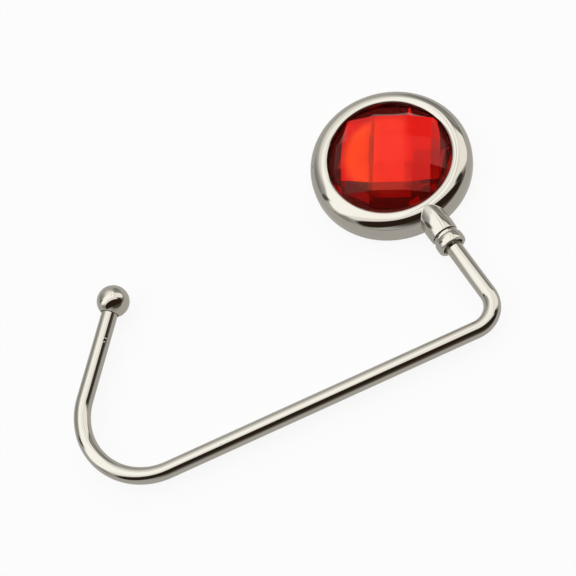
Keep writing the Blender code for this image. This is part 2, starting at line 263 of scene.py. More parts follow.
class TurnedSurface:
    """Signed distance and smooth outward normal of a closed section spun round an axis."""

    def __init__(self, section, centre, axis):
        points = np.array(section)
        self.start, self.end = points[:-1], points[1:]
        step = self.end - self.start
        self.length = np.maximum(np.linalg.norm(step, axis=1), TINY)
        self.step = step / self.length[:, None]
        side = np.stack([self.step[:, 1], -self.step[:, 0]], axis=1)
        sign = np.sign((points[:-1, 0] * points[1:, 1] - points[1:, 0] * points[:-1, 1]).sum())
        self.side = side * sign
        joint = self.side[:-1] + self.side[1:]
        joint /= np.maximum(np.linalg.norm(joint, axis=1), TINY)[:, None]
        self.first = np.vstack([self.side[:1], joint])
        self.last = np.vstack([joint, self.side[-1:]])
        self.centre, self.axis = np.array(centre), np.array(axis)

    def at(self, places):
        """Works in blocks, because all places at once would fill the memory."""
        parts = [self.of_block(places[i : i + BLOCK]) for i in range(0, len(places), BLOCK)]
        return [np.concatenate(part) for part in zip(*parts)]

    def of_block(self, places):
        offset = places - self.centre
        along = offset @ self.axis
        across = offset - along[:, None] * self.axis
        radius = np.linalg.norm(across, axis=1)
        flat = np.stack([radius, along], axis=1)
        run = np.einsum("psk,sk->ps", flat[:, None] - self.start[None], self.step)
        run = np.clip(run, 0.0, self.length[None])
        foot = self.start[None] + run[..., None] * self.step[None]
        gap = flat[:, None] - foot
        nearest = np.argmin((gap**2).sum(axis=2), axis=1)
        rows = np.arange(len(places))
        share = (run[rows, nearest] / self.length[nearest])[:, None]
        normal = self.first[nearest] * (1 - share) + self.last[nearest] * share
        normal /= np.linalg.norm(normal, axis=1)[:, None]
        distance = (gap[rows, nearest] * normal).sum(axis=1)
        outward = across / np.maximum(radius, TINY)[:, None]
        return distance, normal[:, :1] * outward + normal[:, 1:] * self.axis


disc_surface = TurnedSurface(disc_section, Vector(), UP)
neck_surface = TurnedSurface(neck_section, NECK_LINE, OUTWARD)
print("surfaces of", len(disc_surface.start), "and", len(neck_surface.start), "pieces of section")

# %% [markdown]
# The ball that rolls along the corner touches both surfaces, so its centre stands one radius from each.
# From any point nearby, the way to that centre is a sum of the two normals, and two small equations give
# the shares. Where both shares are positive the point belongs to the fillet, and elsewhere to the nearer
# surface.

# %% Distance to the casting with its fillet
MOST_ALIKE = 0.98


def casting_field(places):
    """Distance to the joined casting, its normal there, and whether the point lies in the fillet."""
    a, normal_a = disc_surface.at(places)
    b, normal_b = neck_surface.at(places)
    both = np.minimum(np.einsum("pk,pk->p", normal_a, normal_b), MOST_ALIKE)
    short_a, short_b = FILLET_RADIUS - a, FILLET_RADIUS - b
    share_a = (short_a - both * short_b) / (1 - both**2)
    share_b = (short_b - both * short_a) / (1 - both**2)
    to_ball = share_a[:, None] * normal_a + share_b[:, None] * normal_b
    reach = np.linalg.norm(to_ball, axis=1)
    rolled = (share_a > 0) & (share_b > 0) & (np.minimum(a, b) > -FILLET_RADIUS)
    distance = np.where(rolled, FILLET_RADIUS - reach, np.minimum(a, b))
    nearer = np.where((a < b)[:, None], normal_a, normal_b)
    normal = np.where(rolled[:, None], to_ball / np.maximum(reach, TINY)[:, None], nearer)
    return distance, normal, rolled


def read(items, field, width, kind=float):
    """One field of all vertices, faces or corners as an array, width numbers for each."""
    values = np.empty(len(items) * width, kind)
    items.foreach_get(field, values)
    return values.reshape(-1, width)


# %% [markdown]
# The mesh is fine enough for the dome but not for a fillet a third of a millimetre wide, so the faces
# along the corner are split first, twice over. Then every point in the fillet is moved out onto it.

# %% Split the corner and roll the fillet
CORNER_REACH = 1.5 * FILLET_RADIUS
CORNER_SPLITS = 2
ROLLING_PASSES = 6


def pick_corner(obj):
    """Selects the faces that have a point within reach of both surfaces."""
    bpy.ops.object.mode_set(mode="OBJECT")
    places = read(obj.data.vertices, "co", 3)
    gaps = np.maximum(np.abs(disc_surface.at(places)[0]), np.abs(neck_surface.at(places)[0]))
    close = set(np.flatnonzero(gaps < CORNER_REACH).tolist())
    bpy.ops.object.mode_set(mode="EDIT")
    pick("FACE", lambda face: any(vertex.index in close for vertex in face.verts))


activate(disc_body)
for _ in range(CORNER_SPLITS):
    pick_corner(disc_body)
    bpy.ops.mesh.quads_convert_to_tris()
    bpy.ops.mesh.subdivide(number_cuts=1)
pick_corner(disc_body)
bpy.ops.mesh.quads_convert_to_tris()
bpy.ops.object.mode_set(mode="OBJECT")
points = read(disc_body.data.vertices, "co", 3)
outer = np.array([math.hypot(x, y) > CREST_RADIUS and y < 0 for x, y, z in points])
moved = points.copy()
for _ in range(ROLLING_PASSES):
    distance, normal, rolled = casting_field(moved[outer])
    moved[outer] -= np.where(rolled, distance, 0.0)[:, None] * normal
disc_body.data.vertices.foreach_set("co", moved.ravel())
disc_body.data.update()
print("fillet moved", int((np.linalg.norm(moved - points, axis=1) > 1e-7).sum()), "points")

# %% [markdown]
# The bore for the collar is drilled after the fillet, with a Boolean as a drill would. Last, the surface
# gets the exact normals of its own equation wherever a face follows it, because mirror-bright metal
# shows the smallest error in a normal. Flat and drilled faces keep their own.

# %% Drill the bore and set the normals
BORE_OVERRUN = 1.0 * MM
BORE_SIDES = 96
NORMAL_REACH = 0.02 * MM
MOST_TURN_DEG = 25.0

bore_section = [(0.0, NECK_END + BORE_OVERRUN), (BORE_RADIUS, NECK_END + BORE_OVERRUN)]
bore_section += [(BORE_RADIUS, BORE_BOTTOM), (0.0, BORE_BOTTOM)]
boolean(disc_body, "DIFFERENCE", turned("neck_bore", bore_section, BORE_SIDES, NECK_LINE, OUTWARD))


def set_exact_normals(obj, field):
    """Gives each face corner the field's normal, unless that turns away from the face itself."""
    mesh = obj.data
    corner = read(mesh.loops, "vertex_index", 1, np.int32)[:, 0]
    counts = read(mesh.polygons, "loop_total", 1, np.int32)[:, 0]
    own = np.repeat(read(mesh.polygons, "normal", 3), counts, axis=0)
    distance, normal = field(read(mesh.vertices, "co", 3))[:2]
    exact = normal[corner]
    agrees = (exact * own).sum(axis=1) > math.cos(math.radians(MOST_TURN_DEG))
    agrees &= np.abs(distance[corner]) < NORMAL_REACH
    mesh.normals_split_custom_set(np.where(agrees[:, None], exact, own))
    print(obj.name, "exact normals on", round(100 * agrees.mean()), "% of corners")


set_exact_normals(disc_body, casting_field)
count_triangles(disc_body)
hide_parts("disc_casting")
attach(disc_body, "disc")

# %% [markdown]
# ## The collar
#
# A small turned collar is pressed into the neck and keeps the wire in. From the neck outwards it has a
# narrow waist, a fine groove, a barrel-shaped flange and a countersunk mouth that leaves the wire some
# air. All of it is one section again.

# %% Section of the collar
SWIVEL_CLEARANCE = 0.1 * MM
WIRE_RADIUS = 2.0 * MM
COLLAR_BORE = WIRE_RADIUS + SWIVEL_CLEARANCE
SPIGOT_RADIUS = 2.55 * MM
SPIGOT_START = 21.2 * MM
SHOULDER = NECK_END + SEAT_GAP
WAIST_RADIUS = 3.1 * MM
FLANGE_START = 25.7 * MM
FLANGE_END = 28.2 * MM
FLANGE_RADIUS = 3.55 * MM
FLANGE_EDGE_DROP = 0.2 * MM
COUNTERSINK_DEPTH = 0.9 * MM
COUNTERSINK_RADIUS = 2.6 * MM
GROOVE = 0.12 * MM
SOFT_EDGE = 0.08 * MM
COLLAR_SIDES = 128

flange_edge_radius = FLANGE_RADIUS - FLANGE_EDGE_DROP
collar_section = [(COLLAR_BORE, FLANGE_END - COUNTERSINK_DEPTH)]
collar_section += arc((COUNTERSINK_RADIUS + SOFT_EDGE, FLANGE_END - SOFT_EDGE), SOFT_EDGE, 180, 90, 4)
collar_section += arc((flange_edge_radius - SOFT_EDGE, FLANGE_END - SOFT_EDGE), SOFT_EDGE, 90, 0, 4)
barrel_middle = (flange_edge_radius, (FLANGE_START + FLANGE_END) / 2)
barrel_rise = (FLANGE_END - FLANGE_START) / 2 - SOFT_EDGE
collar_section += arc(barrel_middle, FLANGE_EDGE_DROP, 85, -85, 22, barrel_rise)
collar_section += arc((flange_edge_radius - SOFT_EDGE, FLANGE_START + SOFT_EDGE), SOFT_EDGE, 0, -90, 4)
collar_section += [(WAIST_RADIUS - GROOVE, FLANGE_START), (WAIST_RADIUS - GROOVE, FLANGE_START - GROOVE)]
collar_section += arc((WAIST_RADIUS - SOFT_EDGE, FLANGE_START - 2 * GROOVE), SOFT_EDGE, 90, 0, 4)
collar_section += arc((WAIST_RADIUS - SOFT_EDGE, SHOULDER + SOFT_EDGE), SOFT_EDGE, 0, -90, 4)
collar_section += [(SPIGOT_RADIUS, SHOULDER), (SPIGOT_RADIUS, SPIGOT_START), (COLLAR_BORE, SPIGOT_START)]
collar = turned("swivel_collar", collar_section, COLLAR_SIDES, NECK_LINE, OUTWARD)
bpy.ops.object.shade_smooth_by_angle(angle=SHARP_ABOVE)
count_triangles(collar)
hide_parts("neck_collar")
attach(collar, "disc")

# %% [markdown]
# ## The wire
#
# The hook is one length of 4 mm wire with two bends. A bending tool feeds the wire straight, turns it
# round a former and feeds on, and the mesh is made the same way: a ring of points is extruded along each
# straight leg and spun round the centre of each bend.

# %% Route of the wire
FIRST_CORNER = Vector((0.0, -49.7, 4.0)) * MM
FIRST_BEND_DEG = 97.8
FIRST_BEND_RADIUS = 6.2 * MM
LONG_LEG = 114.0 * MM
SECOND_BEND_DEG = 124.4
SECOND_BEND_RADIUS = 15.8 * MM
END_LEG = 55.5 * MM
HEAD_START = 20.05 * MM
HEAD_END = 21.05 * MM
HEAD_CHAMFER = 0.15 * MM
WIRE_SIDES = 72
BEND_STEP_DEG = 1.8
FEED_STEP = 4.0 * MM
END_FEEDS = 12
WELD_REACH = 0.001 * MM


def heading(degrees):
    return Vector((math.cos(math.radians(degrees)), math.sin(math.radians(degrees)), 0.0))


second_heading = heading(-90.0 - FIRST_BEND_DEG)
second_corner = FIRST_CORNER + LONG_LEG * second_heading
end_heading = heading(-90.0 - FIRST_BEND_DEG - SECOND_BEND_DEG)
ball_centre = second_corner + END_LEG * end_heading
print("ball centre at", [round(value / MM, 2) for value in ball_centre], "mm")

# %% [markdown]
# The wire starts inside the collar, with the head that was upset on it. The head is the first ring of
# points, made a little wider for a short way. All later rings grow out of it, so the mesh has no seams.

# %% Bend the wire
select_nothing()
bpy.ops.mesh.primitive_circle_add(
    vertices=WIRE_SIDES,
    radius=SPIGOT_RADIUS - HEAD_CHAMFER,
    fill_type="NGON",
    location=NECK_LINE + OUTWARD * HEAD_START,
    rotation=(math.radians(90.0), 0.0, 0.0),
)
wire = newest("hook_wire_bent")
bpy.ops.object.mode_set(mode="EDIT")
bpy.ops.mesh.select_mode(type="EDGE")
bpy.ops.mesh.select_all(action="SELECT")
tip = NECK_LINE + OUTWARD * HEAD_START


def feed(start, end, pieces=1, new_radius_share=1.0):
    """Extrudes the open end from start to end in equal pieces, and resizes it there."""
    for _ in range(pieces):
        bpy.ops.mesh.extrude_edges_move(TRANSFORM_OT_translate={"value": (end - start) / pieces})
    if new_radius_share != 1.0:
        bpy.ops.transform.resize(value=(new_radius_share,) * 3, center_override=end)
    return end


def bend(corner, heading_in, heading_out, turn_deg, radius, start):
    """Feeds up to a bend, spins the open end round its centre, and returns the place it has reached."""
    setback = radius * math.tan(math.radians(turn_deg) / 2)
    bend_start = corner - setback * heading_in
    length = (bend_start - start).length
    feed(start, bend_start, max(2, round(length / FEED_STEP)))
    centre = bend_start + radius * Vector((heading_in.y, -heading_in.x, 0.0))
    steps = math.ceil(turn_deg / BEND_STEP_DEG)
    bpy.ops.mesh.spin(steps=steps, angle=math.radians(turn_deg), center=centre, axis=UP)
    return corner + setback * heading_out


head_share = SPIGOT_RADIUS / (SPIGOT_RADIUS - HEAD_CHAMFER)
tip = feed(tip, tip + OUTWARD * HEAD_CHAMFER, 1, head_share)
tip = feed(tip, NECK_LINE + OUTWARD * (HEAD_END - HEAD_CHAMFER))
tip = feed(tip, NECK_LINE + OUTWARD * HEAD_END, 1, WIRE_RADIUS / SPIGOT_RADIUS)
tip = bend(FIRST_CORNER, OUTWARD, second_heading, FIRST_BEND_DEG, FIRST_BEND_RADIUS, tip)
tip = bend(second_corner, second_heading, end_heading, SECOND_BEND_DEG, SECOND_BEND_RADIUS, tip)
feed(tip, ball_centre, END_FEEDS)
bpy.ops.mesh.edge_face_add()
leave_edit_mode(WELD_REACH)
bpy.ops.object.shade_smooth_by_angle(angle=SHARP_ABOVE)
count_triangles(wire)
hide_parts("hook_wire")
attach(wire, "hook")

# %% [markdown]
# ## The ball tip
#
# The ball keeps the bag's handle from slipping off and the wire's end from scratching. It is drilled half
# through and brazed on. The section leaves a tiny shoulder round the hole, where braze has run in.

# %% Section of the ball
HOLE_RADIUS = WIRE_RADIUS + SEAT_GAP
HOLE_LIP = 0.12 * MM
BALL_SIDES = 128

mouth_deg = math.degrees(math.asin((HOLE_RADIUS + HOLE_LIP) / BALL_RADIUS)) - 90.0
ball_section = arc((0.0, 0.0), BALL_RADIUS, 90, mouth_deg, 72)
mouth_height = ball_section[-1][1]
ball_section += arc((HOLE_RADIUS + HOLE_LIP, mouth_height + HOLE_LIP), HOLE_LIP, -120, -180, 5)
ball_section += [(HOLE_RADIUS, SEAT_GAP), (0.0, SEAT_GAP)]
ball_side = Vector((end_heading.y, -end_heading.x, 0.0))
ball = turned("hook_tip_ball", ball_section, BALL_SIDES, ball_centre, end_heading, ball_side)
bpy.ops.object.shade_smooth_by_angle(angle=SHARP_ABOVE)
count_triangles(ball)
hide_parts("hook_ball")
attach(ball, "hook")

# %% [markdown]
# ## The stone
#
# The stone is moulded clear red acrylic with a checkerboard crown: a flat square in the middle, and each
# next row of squares tilted a little further. A jeweller grinds it one flat at a time. A cylinder
# primitive and a Bisect for each flat do the same, and a hair of Bevel breaks the facet edges as polishing
# does.

# %% Cut the stone
STONE_BASE = 4.85 * MM
STONE_CREST = 10.55 * MM
STONE_RADIUS = 15.05 * MM
FACET_LINE_SHARES_X = (0.284, 0.684)
FACET_LINE_SHARES_Y = (0.239, 0.684)
FACET_SLOPES_DEG = (0.0, 16.5, 37.5)
FACET_TURN_DEG = -34.0
FACET_EDGE_WIDTH = 0.08 * MM
BLANK_TOP = STONE_CREST + 1.0 * MM
STONE_SIDES = 144
CUT_TOLERANCE = 0.0005 * MM
SHARP_FACET_TURN = 0.02
GIRDLE_TOP = STONE_BASE + MM

select_nothing()
bpy.ops.mesh.primitive_cylinder_add(
    vertices=STONE_SIDES,
    radius=STONE_RADIUS,
    depth=BLANK_TOP - STONE_BASE,
    location=UP * (BLANK_TOP + STONE_BASE) / 2,
)
stone = newest("red_stone_cut")

# %% [markdown]
# The flats lie in rows, one way across the stone and the other way. Each flat's plane is the sum of a row's
# plane one way and a row's plane the other way, so two short lists describe them all.

# %% The flats across the stone, one way and the other


def facet_planes(line_shares):
    """For each row of flats: a point of its cross section and its slope, centre first."""
    lines = [0.0, *(share * STONE_RADIUS for share in line_shares)]
    slopes = [math.tan(math.radians(slope)) for slope in FACET_SLOPES_DEG]
    planes = [(0.0, 0.0, slopes[0])]
    drop = 0.0
    for inner, outer, slope, next_slope in zip(lines, lines[1:], slopes, slopes[1:]):
        drop += (outer - inner) * slope
        planes += [(-outer, drop, -next_slope), (outer, drop, next_slope)]
    return planes


def is_facet_edge(edge):
    """True for an edge between two faces that is above the stone's rim."""
    return edge.calc_face_angle(0.0) > SHARP_FACET_TURN and min(v.co.z for v in edge.verts) > GIRDLE_TOP


facet_turn = Matrix.Rotation(math.radians(FACET_TURN_DEG), 3, "Z")
bpy.ops.object.mode_set(mode="EDIT")
for along_x, drop_x, slope_x in facet_planes(FACET_LINE_SHARES_X):
    for along_y, drop_y, slope_y in facet_planes(FACET_LINE_SHARES_Y):
        corner = Vector((along_x, along_y, STONE_CREST - drop_x - drop_y))
        tilt = Vector((slope_x, slope_y, 1.0)).normalized()
        bpy.ops.mesh.select_all(action="SELECT")
        bpy.ops.mesh.bisect(
            plane_co=facet_turn @ corner,
            plane_no=facet_turn @ tilt,
            use_fill=True,
            clear_outer=True,
            threshold=CUT_TOLERANCE,
        )
pick("EDGE", is_facet_edge)
bpy.ops.mesh.bevel(offset=FACET_EDGE_WIDTH, segments=2, clamp_overlap=True)
leave_edit_mode()
bpy.ops.object.shade_flat()
count_triangles(stone)
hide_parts("gem_stone")
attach(stone, "disc")

# %% [markdown]
# ## The grip pad
#
# A black rubber pad under the disc keeps it from sliding. It is a stamped sheet with rounded edges.

# %% Section of the pad
PAD_RADIUS = 16.45 * MM
PAD_TOP = 1.4 * MM
PAD_EDGE = 0.25 * MM
PAD_SIDES = 192

pad_section = [(0.0, PAD_TOP)]
pad_section += arc((PAD_RADIUS - PAD_EDGE, PAD_TOP - PAD_EDGE), PAD_EDGE, 90, 0, 6)
pad_section += arc((PAD_RADIUS - PAD_EDGE, PAD_EDGE), PAD_EDGE, 0, -90, 6)
pad_section += [(0.0, 0.0)]
pad = turned("rubber_pad", pad_section, PAD_SIDES)
bpy.ops.object.shade_smooth_by_angle(angle=SHARP_ABOVE)
count_triangles(pad)
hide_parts("grip_pad")
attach(pad, "disc")

# %% [markdown]
# ## Finishes
#
# Everything bright here is the same nickel, but each piece was made another way before plating, and it
# shows: the casting was buffed, the collar was turned, the wire was drawn and the ball was tumbled. So
# each piece has its own finish. A pattern is laid in the object's own metres, and its depth is a real
# depth in metres.

# %% [markdown]
# A finish or a studio wall is a small network of nodes. One helper adds a node and fills its inputs in
# order: a socket is linked, a value is set, and None is left as it is.

# %% Helpers for nodes


def fill(tree, slot, given):
    if isinstance(given, bpy.types.NodeSocket):
        tree.links.new(given, slot)
    elif given is not None:
        slot.default_value = (*given, 1.0) if slot.type == "RGBA" else given


def lay(tree, kind, *inputs, **settings):
    node = tree.nodes.new(kind)
    for key, value in settings.items():
        setattr(node, key, value)
    for slot, given in zip(node.inputs, inputs):
        fill(tree, slot, given)
    return node


def sum_of(tree, operation, *values):
    return lay(tree, "ShaderNodeMath", *values, operation=operation).outputs[0]


def measure(tree, operation, *vectors):
    """One number from vectors, such as their DISTANCE."""
    return lay(tree, "ShaderNodeVectorMath", *vectors, operation=operation).outputs["Value"]


def mixed_colours(tree, share, first, second):
    not_colours = [None] * 5
    return lay(tree, "ShaderNodeMix", share, *not_colours, first, second, data_type="RGBA").outputs[2]


# %% [markdown]
# Every finish starts from the Principled shader, set to the plain colour, roughness and metal that the
# piece would have with no detail. What reads these sockets without the patterns still gets a fair colour.

# %% A place to start each finish


def set_shader(material, **given):
    """Fills the shader's sockets: Base_Color=... goes to Base Color."""
    tree = material.node_tree
    for name, source in given.items():
        fill(tree, tree.nodes["Principled BSDF"].inputs[name.replace("_", " ")], source)


def new_finish(name, colour, roughness, metallic=0.0):
    material = bpy.data.materials.new(name)
    material.use_nodes = True
    set_shader(material, Base_Color=colour, Roughness=roughness, Metallic=metallic)
    return material, material.node_tree


def wear(obj, material, **patterns):
    """Links the patterns to the finish's shader, and puts the finish on the object."""
    set_shader(material, **patterns)
    obj.data.materials.clear()
    obj.data.materials.append(material)
    print(obj.name, "wears", material.name, "of", len(material.node_tree.nodes), "nodes")


# %% [markdown]
# A few patterns come back in every finish: a noise or cells of a given grain size, a value spread over a
# range, and a bump. Grain sizes are in metres, because a scratch is a tenth of a millimetre wide on a ring
# and on a bridge alike. A noise whose coordinates are stretched becomes streaks.

# %% Patterns
EVEN = (1.0, 1.0, 1.0)


def own_metres(tree):
    return lay(tree, "ShaderNodeTexCoord").outputs["Object"]


def from_axis(tree):
    """How far each point is from the disc's middle line."""
    flat = lay(tree, "ShaderNodeVectorMath", own_metres(tree), (1.0, 1.0, 0.0), operation="MULTIPLY")
    return measure(tree, "LENGTH", flat.outputs[0])


def grain(tree, size, detail=2.0, stretch=EVEN, place=None):
    """Noise from 0 to 1 whose features are about size metres across, times stretch in each direction."""
    place = own_metres(tree) if place is None else place
    scale = tuple(1.0 / (size * factor) for factor in stretch)
    fine = lay(tree, "ShaderNodeMapping", place, None, None, scale).outputs[0]
    return lay(tree, "ShaderNodeTexNoise", fine, None, 1.0, detail).outputs["Fac"]


def cells(tree, size):
    """How far each point is from the middle of its cell, of cells about size metres across."""
    return lay(tree, "ShaderNodeTexVoronoi", own_metres(tree), None, 1.0 / size).outputs["Distance"]


def spread(tree, value, low=0.0, high=1.0, start=0.3, end=0.7, way="LINEAR"):
    """Maps the value's range from start to end onto low to high."""
    return lay(tree, "ShaderNodeMapRange", value, start, end, low, high, interpolation_type=way).outputs[0]


def bump(tree, height, depth, under=None):
    """Turns a height from 0 to 1 into a normal, depth metres deep, over an earlier bump."""
    return lay(tree, "ShaderNodeBump", None, depth, None, height, under).outputs["Normal"]


def spots(tree, marks):
    """1 inside small round marks of (x, y, z, radius) in millimetres, 0 outside, with soft edges."""
    total = 0.0
    for mark in marks:
        x, y, z, radius = (value * MM for value in mark)
        gap = measure(tree, "DISTANCE", own_metres(tree), (x, y, z))
        total = sum_of(tree, "MAXIMUM", total, spread(tree, gap, 1.0, 0.0, 0.4 * radius, radius))
    return total


# %% [markdown]
# The casting was tumbled and buffed on a cloth wheel. That leaves it bright but not optically true: the
# surface rises and falls by a few thousandths of a millimetre over several millimetres, which makes the
# reflected edges wander, and hair-fine wheel marks run round the ring. Plating adds faint warm clouds and a
# few pits where the zinc was porous. The wheel marks need polar coordinates: radius and height stay as
# they are, and the angle becomes a length along the ring.

# %% Nickel of the casting
NICKEL = (0.60, 0.578, 0.525)
NICKEL_WARM = (0.58, 0.548, 0.475)
NICKEL_DARK = (0.16, 0.145, 0.12)
MIRROR_ROUGHNESS = 0.03
CLOUD_SIZE = 9.0 * MM
CASTING_WANDER = (6.5 * MM, 0.016 * MM)
WHEEL_MARK, WHEEL_DEPTH = 0.16 * MM, 0.0002 * MM
HAZE_SIZE = 4.0 * MM
HAZE_RANGE = (0.12, 0.42)
CASTING_HAZE = (0.018, 0.06)
CASTING_PITS = ((-16.7, 9.2, 5.6, 0.26), (13.5, 12.1, 6.4, 0.3), (14.4, 10.9, 6.5, 0.24))
PIT_DEPTH = 0.05 * MM


def nickel_finish(name):
    """A nickel that has only the plating's warm clouds so far, with its tree and colour."""
    material, tree = new_finish(name, NICKEL, MIRROR_ROUGHNESS, 1.0)
    clouds = spread(tree, grain(tree, CLOUD_SIZE, 3.0), 0.0, 0.5, 0.42, 0.72)
    return material, tree, mixed_colours(tree, clouds, NICKEL, NICKEL_WARM)


def wander(tree, size, depth, stretch=EVEN, place=None):
    """The slow rise and fall that polishing leaves, size metres across and depth metres deep."""
    return bump(tree, grain(tree, size, 1.0, stretch, place), depth)


def pitted(tree, colour, marks):
    """The colour, dark inside the marks, and a height that drops there."""
    pits = spots(tree, marks)
    return mixed_colours(tree, pits, colour, NICKEL_DARK), sum_of(tree, "SUBTRACT", 1.0, pits)


cast_nickel, tree, colour = nickel_finish("nickel_on_casting")
x, y, z = lay(tree, "ShaderNodeSeparateXYZ", own_metres(tree)).outputs
round_length = sum_of(tree, "MULTIPLY", sum_of(tree, "ARCTAN2", y, x), DISC_RADIUS)
ring_place = lay(tree, "ShaderNodeCombineXYZ", from_axis(tree), round_length, z).outputs[0]
wheel_marks = grain(tree, WHEEL_MARK, 2.0, (1.0, 30.0, 1.0), ring_place)
hazy = sum_of(tree, "MULTIPLY", wheel_marks, grain(tree, HAZE_SIZE, 3.0))
haze = spread(tree, hazy, *CASTING_HAZE, *HAZE_RANGE)
colour, pit_height = pitted(tree, colour, CASTING_PITS)
normal = bump(tree, wheel_marks, WHEEL_DEPTH, wander(tree, *CASTING_WANDER))
normal = bump(tree, pit_height, PIT_DEPTH, normal)
wear(disc_body, cast_nickel, Base_Color=colour, Roughness=haze, Normal=normal)

# %% [markdown]
# The collar comes off a lathe. The tool leaves a fine thread of lines round it, a few hundredths of a
# millimetre apart, and plating only softens them. A noise that changes along Y alone draws such lines.

# %% Nickel of the turned collar
COLLAR_WANDER = (2.5 * MM, 0.003 * MM)
TOOL_LINE, TOOL_DEPTH = 0.09 * MM, 0.0008 * MM
COLLAR_HAZE = (0.03, 0.1)

turned_nickel, tree, colour = nickel_finish("nickel_on_turned_collar")
tool_lines = grain(tree, TOOL_LINE, 2.0, (400.0, 1.0, 400.0))
haze = spread(tree, tool_lines, *COLLAR_HAZE)
colour = mixed_colours(tree, spread(tree, tool_lines, 0.0, 0.25), colour, NICKEL_WARM)
normal = bump(tree, tool_lines, TOOL_DEPTH, wander(tree, *COLLAR_WANDER))
wear(collar, turned_nickel, Base_Color=colour, Roughness=haze, Normal=normal)

# %% [markdown]
# Wire is pulled through a die, so its marks run along it and go round the bends with it. They can't be
# drawn in the object's own metres. Each point of the mesh is given the place that it had while the wire
# was still straight, and this is kept as an attribute that the finish reads.

# %% Where each point was before bending


def straight_places(points):
    """For points on the wire: distance along it, and the offset from its middle to the side and up."""
    legs = (
        (NECK_LINE + OUTWARD * HEAD_START, OUTWARD),
        (FIRST_CORNER, second_heading),
        (second_corner, end_heading),
    )
    turns = ((FIRST_BEND_DEG, FIRST_BEND_RADIUS), (SECOND_BEND_DEG, SECOND_BEND_RADIUS), (0.0, 0.0))
    best = np.full(len(points), np.inf)
    places = np.zeros((len(points), 3))
    run, setback_before = 0.0, 0.0
    for number, ((corner, direction), (turn_deg, radius)) in enumerate(zip(legs, turns)):
        setback = radius * math.tan(math.radians(turn_deg) / 2)
        start = corner + direction * setback_before
        end = legs[number + 1][0] - direction * setback if number < 2 else ball_centre
        length = (end - start).length
        side = np.array((direction.y, -direction.x, 0.0))
        offset = points - np.array(start)
        along = offset @ np.array(direction)
        gap = offset - np.clip(along, 0.0, length)[:, None] * np.array(direction)
        miss = np.abs(np.linalg.norm(gap, axis=1) - WIRE_RADIUS)
        nearer = (miss < best) & (along > -HEAD_CHAMFER) & (along < length + HEAD_CHAMFER)
        straight = np.stack([run + along, offset @ side, offset[:, 2]], axis=1)
        places[nearer], best[nearer] = straight[nearer], miss[nearer]
        run += length
        if number < 2:
            centre = np.array(end) + side * radius
            arm = points - centre
            reach = np.hypot(arm[:, 0], arm[:, 1])
            turned_by = np.arctan2(arm @ np.array(direction), -(arm @ side))
            inside = (turned_by > -0.001) & (turned_by < math.radians(turn_deg) + 0.001)
            miss = np.abs(np.hypot(reach - radius, arm[:, 2]) - WIRE_RADIUS)
            nearer = inside & (miss < best)
            curved = np.stack([run + turned_by * radius, radius - reach, arm[:, 2]], axis=1)
            places[nearer], best[nearer] = curved[nearer], miss[nearer]
            run += math.radians(turn_deg) * radius
        setback_before = setback
    print("wire length", round(run / MM, 1), "mm")
    return places


unbent = wire.data.attributes.new("unbent", "FLOAT_VECTOR", "POINT")
unbent.data.foreach_set("vector", straight_places(read(wire.data.vertices, "co", 3)).ravel())

# %% [markdown]
# On the wire, long faint grooves and slow bands of haze follow its length, the straight legs are not quite
# straight, and a few chips show where bags' rings have knocked it.

# %% Nickel of the drawn wire
GROOVE_SIZE, GROOVE_DEPTH = 0.22 * MM, 0.0009 * MM
BAND_SIZE = 5.0 * MM
WIRE_WANDER = (7.0 * MM, 0.012 * MM)
WIRE_HAZE = (0.022, 0.08)
WIRE_CHIPS = ((-70.0, -40.5, 5.7, 0.35), (-81.2, -1.3, 5.4, 0.38), (-82.0, -2.0, 5.6, 0.34))
CHIP_DEPTH = 0.04 * MM

drawn_nickel, tree, colour = nickel_finish("nickel_on_drawn_wire")
along_wire = lay(tree, "ShaderNodeAttribute", attribute_name="unbent").outputs["Vector"]
grooves = grain(tree, GROOVE_SIZE, 3.0, (90.0, 1.0, 1.0), along_wire)
bands = grain(tree, BAND_SIZE, 2.0, (3.0, 0.4, 0.4), along_wire)
haze = spread(tree, sum_of(tree, "MULTIPLY", grooves, bands), *WIRE_HAZE, *HAZE_RANGE)
colour = mixed_colours(tree, spread(tree, grooves, 0.0, 0.3), colour, NICKEL_WARM)
colour, chip_height = pitted(tree, colour, WIRE_CHIPS)
normal = bump(tree, grooves, GROOVE_DEPTH, wander(tree, *WIRE_WANDER, (1.0, 0.5, 0.5), along_wire))
normal = bump(tree, chip_height, CHIP_DEPTH, normal)
wear(wire, drawn_nickel, Base_Color=colour, Roughness=haze, Normal=normal)

# %% [markdown]
# The ball was tumbled smooth. Only round the hole, where it was brazed on, the plating is a little warmer
# and duller, because the flame's scale was pickled off there.

# %% Nickel of the ball
BRAZED_REACH = 1.6 * MM
BRAZED_HAZE, BRAZED_WARMTH = 0.09, 0.7
BALL_WANDER = (2.2 * MM, 0.004 * MM)
TUMBLE_SIZE, TUMBLE_DEPTH = 0.7 * MM, 0.0006 * MM
BALL_HAZE = (0.018, 0.05)

ball_nickel, tree, colour = nickel_finish("nickel_on_ball")
mouth = ball_centre + end_heading * mouth_height
to_mouth = measure(tree, "DISTANCE", own_metres(tree), mouth)
brazed = spread(tree, to_mouth, 1.0, 0.0, HOLE_RADIUS, HOLE_RADIUS + BRAZED_REACH)
tumbled = grain(tree, TUMBLE_SIZE, 3.0)
dulled = sum_of(tree, "MULTIPLY", brazed, BRAZED_HAZE)
haze = sum_of(tree, "ADD", spread(tree, tumbled, *BALL_HAZE), dulled)
colour = mixed_colours(tree, sum_of(tree, "MULTIPLY", brazed, BRAZED_WARMTH), colour, NICKEL_WARM)
normal = bump(tree, tumbled, TUMBLE_DEPTH, wander(tree, *BALL_WANDER))
wear(ball, ball_nickel, Base_Color=colour, Roughness=haze, Normal=normal)
